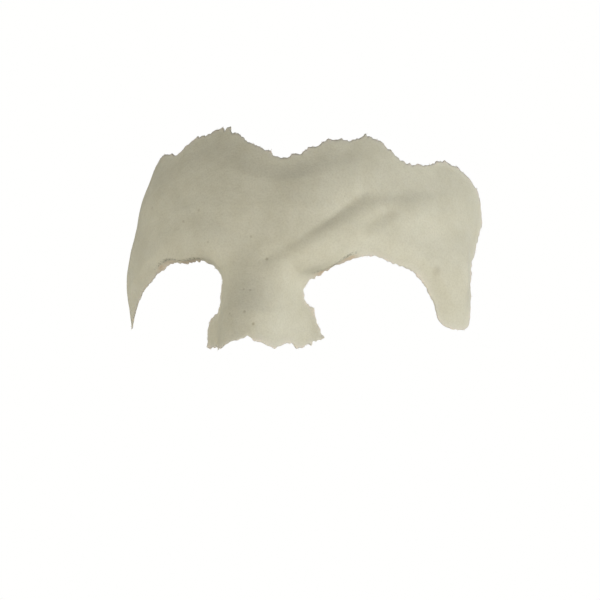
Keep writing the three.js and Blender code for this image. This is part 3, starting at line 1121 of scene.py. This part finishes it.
@dataclass(frozen=True)
class FoamLatex:
    """Cast foam latex as it leaves the mould: matt, ivory, finely pored and a little uneven, with
    painted shade in its creases, open bubbles and pits and under its rolled rim.

    Distances and waves are in millimetres. Spans named for the rim, lip, undercut and fray are
    distances from the edge.
    """

    pale: Colour = srgb(222, 218, 197)
    deep: Colour = srgb(214, 209, 186)
    skin_side: Colour = srgb(214, 206, 180)
    # a real stain at the temple, and painted shade in the bubble pits
    stain_and_pit_shade: Colour = srgb(160, 149, 118)
    # painted shade: the crease colour darkens the foam along the creases, where shade falls
    crease: Tint = Tint(srgb(186, 178, 152), 0.22)
    speck: Tint = Tint(srgb(168, 158, 130), 0.16)
    # painted shade: darkens the open bubbles, as shade inside the pits
    pore_shade: Tint = Tint(srgb(168, 158, 130), 0.45)
    edge: Tint = Tint(srgb(228, 222, 206), 0.25, 0.3)
    thin: Tint = Tint(srgb(204, 178, 146), 0.2, 0.5)
    shade: Tint = Tint(srgb(128, 121, 99), 0.1, 0.6)
    frayed: Tint = Tint(srgb(243, 226, 211), 0.7)
    patch: Grain = Grain(17.0)
    patch_span: Span = Span(0.35, 0.65)
    patch_share: float = 0.5
    mottle: Grain = Grain(4.2, 4.0)
    mottle_span: Span = Span(0.3, 0.75)
    mottle_share: float = 0.4
    skin_mottle: float = 0.3
    crease_shade_span: Span = Span(0.3, 2.6)
    speckle: Grain = Grain(0.6, 3.0)
    speck_span: Span = Span(0.62, 0.3)
    rim_span: Span = Span(0.2, 2.4)
    roll_span: Span = Span(0.2, 0.6)
    lip_span: Span = Span(0.9, 1.7)
    undercut_in: Span = Span(1.2, 1.7)
    undercut_out: Span = Span(2.0, 2.8)
    broken: Grain = Grain(0.8)
    broken_span: Span = Span(0.45, 0.58)
    fray_span: Span = Span(0.0, 0.7)
    fray_specks: Span = Span(0.45, 0.6)
    stain_and_pit_wave: float = 1.5
    stain_and_pit_span: Span = Span(0.4, 1.7)
    pebble: Grain = Grain(0.85, 3.0)
    pebble_height: float = 0.075
    pebble_gloss: float = 0.12
    dimple: Grain = Grain(2.1, 1.0)
    dimple_height: float = 0.09
    wrinkle: Grain = Grain(1.0, 1.0)
    wrinkle_wave: float = 0.55
    wrinkle_length: float = 7.0
    wrinkle_height: float = 0.09
    wrinkle_span: Span = Span(0.6, 4.0)
    pore_spacing: float = 2.3
    pore_radius: float = 0.16
    pore_floor: float = 0.35
    pore_depth: float = 0.12
    pore_share: float = 0.45
    pore_soft: float = 0.1
    pore_roughness: float = 0.1
    roughness: float = 0.82
    ior: float = 1.45
    specular: float = 0.35
    scatter: float = 0.12
    scatter_reach: float = 1.2
    scatter_colour: Colour = (1.0, 0.82, 0.55)
    sheen: float = 0.08
    sheen_roughness: float = 0.5

    def material(self) -> bpy.types.Material:
        """Builds the finish.

        Returns:
            The material, patterned in Object coordinates and by the moulding's attributes.
        """
        finish = bpy.data.materials.new("foam_latex")
        finish.use_nodes = True
        finish.node_tree.nodes.clear()
        bench = NodeBench(finish.node_tree)
        own = bench.node("ShaderNodeTexCoord", output="Object")
        places = bench.vector("SCALE", own, 1.0 / MM)
        pores = self._pores(bench, places)
        colour = self._colour(bench, places, pores)
        pebble = bench.grain(places, self.pebble)
        dimple = bench.grain(places, self.dimple)
        height = pebble * self.pebble_height + dimple * self.dimple_height - pores * self.pore_depth
        height = height + self._wrinkles(bench) * self.wrinkle_height
        bump = bench.node("ShaderNodeBump", {"Strength": 1.0, "Distance": MM, "Height": height})
        looks = {
            "Base Color": colour,
            "Roughness": self.roughness - self.pebble_gloss * pebble + pores * self.pore_roughness,
            "IOR": self.ior,
            "Specular IOR Level": self.specular,
            "Subsurface Weight": self.scatter,
            "Subsurface Radius": self.scatter_colour,
            "Subsurface Scale": self.scatter_reach * MM,
            "Sheen Weight": self.sheen,
            "Sheen Roughness": self.sheen_roughness,
            "Normal": bump,
        }
        shader = bench.node("ShaderNodeBsdfPrincipled", looks, subsurface_method="RANDOM_WALK")
        bench.node("ShaderNodeOutputMaterial", {"Surface": shader})
        return finish

    def _wrinkles(self, bench: NodeBench) -> Wire:
        """Makes the fine wrinkles that run in from the torn edge.

        Args:
            bench: The material's nodes.

        Returns:
            The wrinkles' height, from 0 to 1, fading out over the rim.
        """
        from_edge = bench.attribute("from_edge")
        across = bench.attribute("along_edge") / self.wrinkle_wave
        inward = from_edge / self.wrinkle_length
        places = bench.node("ShaderNodeCombineXYZ", {0: across, 1: inward, 2: 0.0})
        rim = 1.0 - bench.span(from_edge, self.wrinkle_span)
        return bench.grain(places, self.wrinkle) * rim

    def _pores(self, bench: NodeBench, places: Wire) -> Wire:
        """Makes the small open bubbles in the foam's skin.

        Args:
            bench: The material's nodes.
            places: The points of the piece, in millimetres.

        Returns:
            The mask of the bubbles, from 0 to 1.
        """
        values = {"Vector": places, "Scale": 1.0 / self.pore_spacing, "Randomness": 1.0}
        distance, chance = (
            bench.node("ShaderNodeTexVoronoi", values, output, feature="F1", distance="EUCLIDEAN")
            for output in ("Distance", "Color")
        )
        channel = bench.node("ShaderNodeSeparateColor", {0: chance})
        radius = self.pore_radius / self.pore_spacing
        hole = 1.0 - bench.span(distance, Span(radius * self.pore_floor, radius))
        without = 1.0 - self.pore_share
        return hole * bench.span(channel, Span(without, without + self.pore_soft))

    def _colour(self, bench: NodeBench, places: Wire, pores: Wire) -> Wire:
        """Layers the foam's colours, from the plain foam to its edge, folds and marks, with painted
        shade in the creases, the open bubbles, the pits and under the rolled rim.

        Args:
            bench: The material's nodes.
            places: The points of the piece, in millimetres.
            pores: The mask of the open bubbles.

        Returns:
            The colour.
        """
        patch = bench.span(bench.grain(places, self.patch), self.patch_span)
        mottle = bench.span(bench.grain(places, self.mottle), self.mottle_span)
        deeper = patch * self.patch_share + mottle * self.mottle_share
        colour = bench.mix(deeper, self.pale, self.deep)
        # painted shade along the creases, stronger where they are deeper
        creased = bench.span(bench.attribute("creased"), self.crease_shade_span)
        colour = self.crease.over(colour, creased)
        from_edge = bench.attribute("from_edge")
        speckle = bench.grain(places, self.speckle)
        colour = self.speck.over(colour, bench.span(speckle, self.speck_span))
        rim = 1.0 - bench.span(from_edge, self.rim_span)
        colour = self.edge.over(colour, rim, mottle)
        rolled = bench.span(bench.attribute("rolled"), self.roll_span)
        lip = 1.0 - bench.span(from_edge, self.lip_span)
        colour = self.thin.over(colour, lip * rolled, mottle)
        past = 1.0 - bench.span(from_edge, self.undercut_out)
        undercut = bench.span(from_edge, self.undercut_in) * past
        broken = bench.span(bench.grain(places, self.broken), self.broken_span)
        colour = self.shade.over(colour, undercut * rolled, broken)
        fray = 1.0 - bench.span(from_edge, self.fray_span)
        colour = self.frayed.over(colour, fray * bench.span(speckle, self.fray_specks))
        for flaw in Flaw:
            colour = self._marked(bench, places, colour, flaw.value)
        inner = bench.mix(mottle * self.skin_mottle, self.skin_side, self.deep)
        colour = bench.mix(bench.attribute("skin_side"), colour, inner)
        # painted shade in the open bubbles
        return self.pore_shade.over(colour, pores)

    def _marked(self, bench: NodeBench, places: Wire, colour: Wire, mark: Mark) -> Wire:
        """Tints the foam round a mark: a real stain at the temple, and painted shade in a pit.

        Args:
            bench: The material's nodes.
            places: The points of the piece, in millimetres.
            colour: The colour of the foam before.
            mark: The mark.

        Returns:
            The colour with the mark.
        """
        head = HeadForm()
        spot = (np.array([mark.side]), np.array([mark.level]))
        middle = tuple(head.skin(*spot)[0].tolist())
        facing = tuple(head.outward(head.skin, *spot)[0].tolist())
        aside = bench.vector("SUBTRACT", places, middle)
        above = bench.vector("PROJECT", aside, facing)
        away = bench.vector("DISTANCE", aside, above)
        ragged = bench.grain(places, Grain(mark.reach * self.stain_and_pit_wave)) - 0.5
        limits = Span(mark.reach * self.stain_and_pit_span.low, mark.reach * self.stain_and_pit_span.high)
        tinted = 1.0 - bench.span(away + ragged * mark.reach, limits)
        # the stain's own colour at the temple, painted shade in a pit
        return bench.mix(tinted * mark.tint, colour, self.stain_and_pit_shade)


@dataclass(frozen=True)
class Moulding:
    """The whole prosthetic: its shell, its fringe and its finish."""

    name: str = "foam_moulding"
    shell: FoamShell = field(default_factory=FoamShell)
    fringe: TornFringe = field(default_factory=TornFringe)
    finish: FoamLatex = field(default_factory=FoamLatex)

    def build(self) -> bpy.types.Object:
        """Builds the prosthetic and sets it in the frame.

        Returns:
            The finished piece, standing for its node.
        """
        piece = self.shell.build(self.name)
        finish = self.finish.material()
        self.fringe.grow(piece, finish)
        if not piece.data.materials:
            piece.data.materials.append(finish)
        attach(piece, BODY)
        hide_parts(NODE)
        return piece


@dataclass(frozen=True)
class SoftLight:
    """One large square lamp, placed by its direction from the middle of the piece.

    azimuth turns from the front towards +X and elevation rises from level, both in degrees.
    """

    name: str
    azimuth: float
    elevation: float
    distance: float
    size: float
    power: float
    colour: Colour

    def build(self, middle: Vector) -> None:
        """Hangs the lamp so that it faces the middle of the piece.

        Args:
            middle: The middle of the piece.
        """
        away = facing_from(self.azimuth, self.elevation)
        lamp = bpy.data.lights.new(self.name, "AREA")
        lamp.shape = "SQUARE"
        lamp.size = self.size
        lamp.energy = self.power
        lamp.color = self.colour
        place = Matrix.Translation(middle + away * self.distance)
        turned = away.to_track_quat("Z", "Y").to_matrix().to_4x4()
        add_object(self.name, lamp).matrix_world = place @ turned


@dataclass(frozen=True)
class Studio:
    """A plain pale floor, soft light and the camera."""

    floor_level: float = -0.42
    floor_half: float = 2.5
    floor_colour: Colour = srgb(232, 231, 228)
    floor_roughness: float = 0.9
    sky_colour: Colour = srgb(255, 255, 254)
    sky_strength: float = 0.05
    lights: tuple[SoftLight, ...] = (
        SoftLight("key_light", 66, -9, 0.9, 0.9, 7.7, (1.0, 1.0, 0.99)),
        SoftLight("fill_light", -35, -24, 0.9, 0.7, 4.5, (1.0, 0.96, 0.9)),
        SoftLight("side_light", -72, 5, 0.9, 0.7, 2.1, (0.98, 1.0, 0.95)),
        SoftLight("back_light", 125, 15, 0.9, 0.7, 1.4, (0.92, 1.0, 1.1)),
    )
    azimuth: float = 17.0
    elevation: float = -11.0
    roll: float = 4.5
    distance: float = 0.9
    pixels_per_mm: float = 3.0
    origin_pixel: tuple[float, float] = (258.0, 248.0)
    picture: float = 600.0
    sensor: float = 36.0
    clip: tuple[float, float] = (0.05, 20.0)

    def build(self) -> None:
        """Sets up the floor, the light and the camera."""
        low, high = (Vector(corner) for corner in cad_box)
        self._floor()
        self._sky()
        for light in self.lights:
            light.build((low + high) / 2)
        self._camera()

    def _floor(self) -> None:
        """Lays the floor below the camera's level."""
        half = self.floor_half
        signs = ((-1, -1), (1, -1), (1, 1), (-1, 1))
        corners = [(x * half, y * half, self.floor_level) for x, y in signs]
        mesh = bpy.data.meshes.new("studio_floor")
        mesh.from_pydata(corners, [], [(0, 1, 2, 3)])
        paint = bpy.data.materials.new("floor_paint")
        paint.use_nodes = True
        shader = paint.node_tree.nodes["Principled BSDF"]
        shader.inputs["Base Color"].default_value = (*self.floor_colour, 1.0)
        shader.inputs["Roughness"].default_value = self.floor_roughness
        mesh.materials.append(paint)
        floor = add_object("studio_floor", mesh)

    def _sky(self) -> None:
        """Fills the studio with even white light, and shows as a white backdrop."""
        world = bpy.data.worlds.new("studio_sky")
        bpy.context.scene.world = world
        world.use_nodes = True
        world.node_tree.nodes.clear()
        bench = NodeBench(world.node_tree)
        seen = bench.node("ShaderNodeLightPath", output="Is Camera Ray")
        strength = self.sky_strength + seen * (1.0 - self.sky_strength)
        light = {"Color": (*self.sky_colour, 1.0), "Strength": strength}
        bench.node("ShaderNodeOutputWorld", {"Surface": bench.node("ShaderNodeBackground", light)})

    def _camera(self) -> None:
        """Places the camera so that the origin falls on its pixel at the picture's scale."""
        turn, lean = math.radians(self.azimuth), math.radians(self.roll)
        ahead = -facing_from(self.azimuth, self.elevation)
        level = Vector((math.cos(turn), math.sin(turn), 0.0))
        upright = level.cross(ahead)
        right = math.cos(lean) * level + math.sin(lean) * upright
        top = math.cos(lean) * upright - math.sin(lean) * level
        per_metre = self.pixels_per_mm / MM
        middle = self.picture / 2
        aside = (self.origin_pixel[0] - middle) / per_metre
        above = (middle - self.origin_pixel[1]) / per_metre
        place = -ahead * self.distance - right * aside - top * above
        data = bpy.data.cameras.new("camera")
        data.sensor_width = self.sensor
        data.lens = per_metre * self.distance / self.picture * self.sensor
        data.clip_start, data.clip_end = self.clip
        axes = Matrix((right, top, -ahead)).transposed().to_4x4()
        camera = add_object("camera", data)
        camera.matrix_world = Matrix.Translation(place) @ axes
        bpy.context.scene.camera = camera


def main() -> None:
    """Builds the studio and the prosthetic, and reports each piece."""
    logging.basicConfig(level=logging.INFO, format="%(message)s")
    bpy.context.scene.view_settings.view_transform = "Standard"
    Studio().build()
    piece = Moulding().build()
    LOG.info("%s: %d faces", piece.name, len(piece.data.polygons))


if __name__ == "__main__":
    main()
